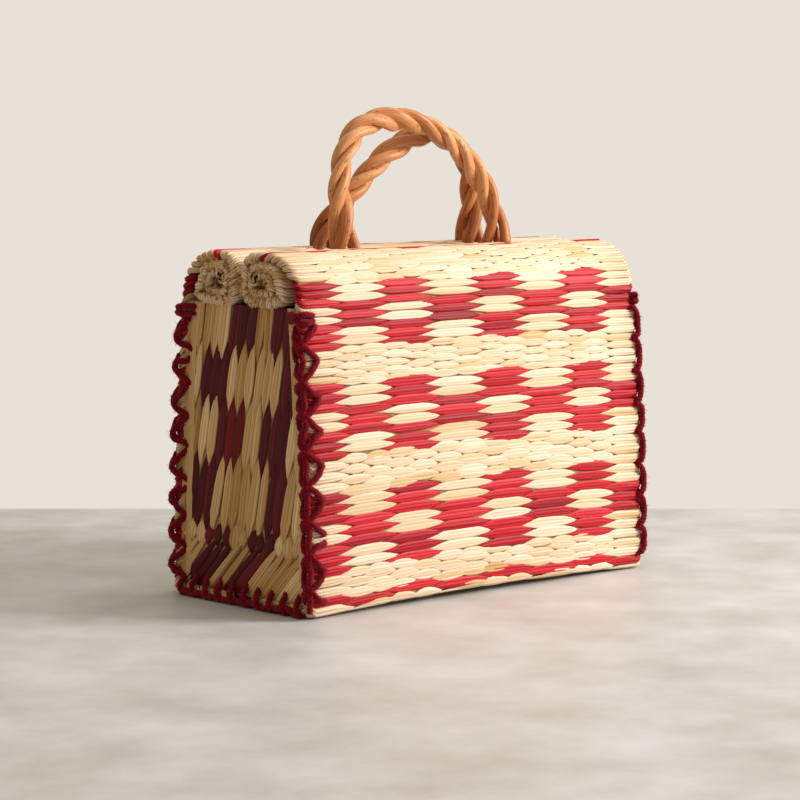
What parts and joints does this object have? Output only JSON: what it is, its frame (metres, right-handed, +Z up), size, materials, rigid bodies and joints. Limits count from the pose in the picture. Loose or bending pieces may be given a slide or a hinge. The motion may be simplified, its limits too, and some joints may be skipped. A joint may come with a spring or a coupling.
{
  "type": "woven reed box bag",
  "caption": "Small box bag of woven natural and crimson reed, with flaps that meet over the opening, twisted willow handles and wool-stitched ends.",
  "frame": {"origin": "on the ground under the middle of the bag", "axes": "+X along the bag, +Y from its front to its back, +Z up"},
  "size_m": [0.2844, 0.1358, 0.2946],
  "materials": {
    "reed": "woven natural reed, slightly glossy",
    "dyed_reed": "woven reed dyed crimson, slightly glossy",
    "willow": "peeled willow, satin",
    "wool": "fuzzy dark red yarn"
  },
  "bodies": {
    "basket": {"body_mat": "reed", "left_panel": "reed", "right_panel": "reed", "front_red_reeds": "dyed_reed", "back_red_reeds": "dyed_reed", "left_panel_red_reeds": "dyed_reed", "right_panel_red_reeds": "dyed_reed", "left_front_stitches": "wool", "left_back_stitches": "wool", "left_foot_stitches": "wool", "right_front_stitches": "wool", "right_back_stitches": "wool", "right_foot_stitches": "wool"},
    "front_lid": {"front_flap": "reed", "front_flap_red_reeds": "dyed_reed", "front_stick": "willow", "front_handle_rod_1": "willow", "front_handle_rod_2": "willow", "front_handle_rod_3": "willow"},
    "back_lid": {"back_flap": "reed", "back_flap_red_reeds": "dyed_reed", "back_stick": "willow", "back_handle_rod_1": "willow", "back_handle_rod_2": "willow", "back_handle_rod_3": "willow"}
  },
  "joints": [
    {"name": "front_flap_fold", "type": "hinge", "parent": "basket", "child": "front_lid", "pos_m": [0, -0.05638, 0.17677], "axis": [1, 0, 0], "range_deg": [0, 110]},
    {"name": "back_flap_fold", "type": "hinge", "parent": "basket", "child": "back_lid", "pos_m": [0, 0.05638, 0.17677], "axis": [-1, 0, 0], "range_deg": [0, 110]}
  ]
}
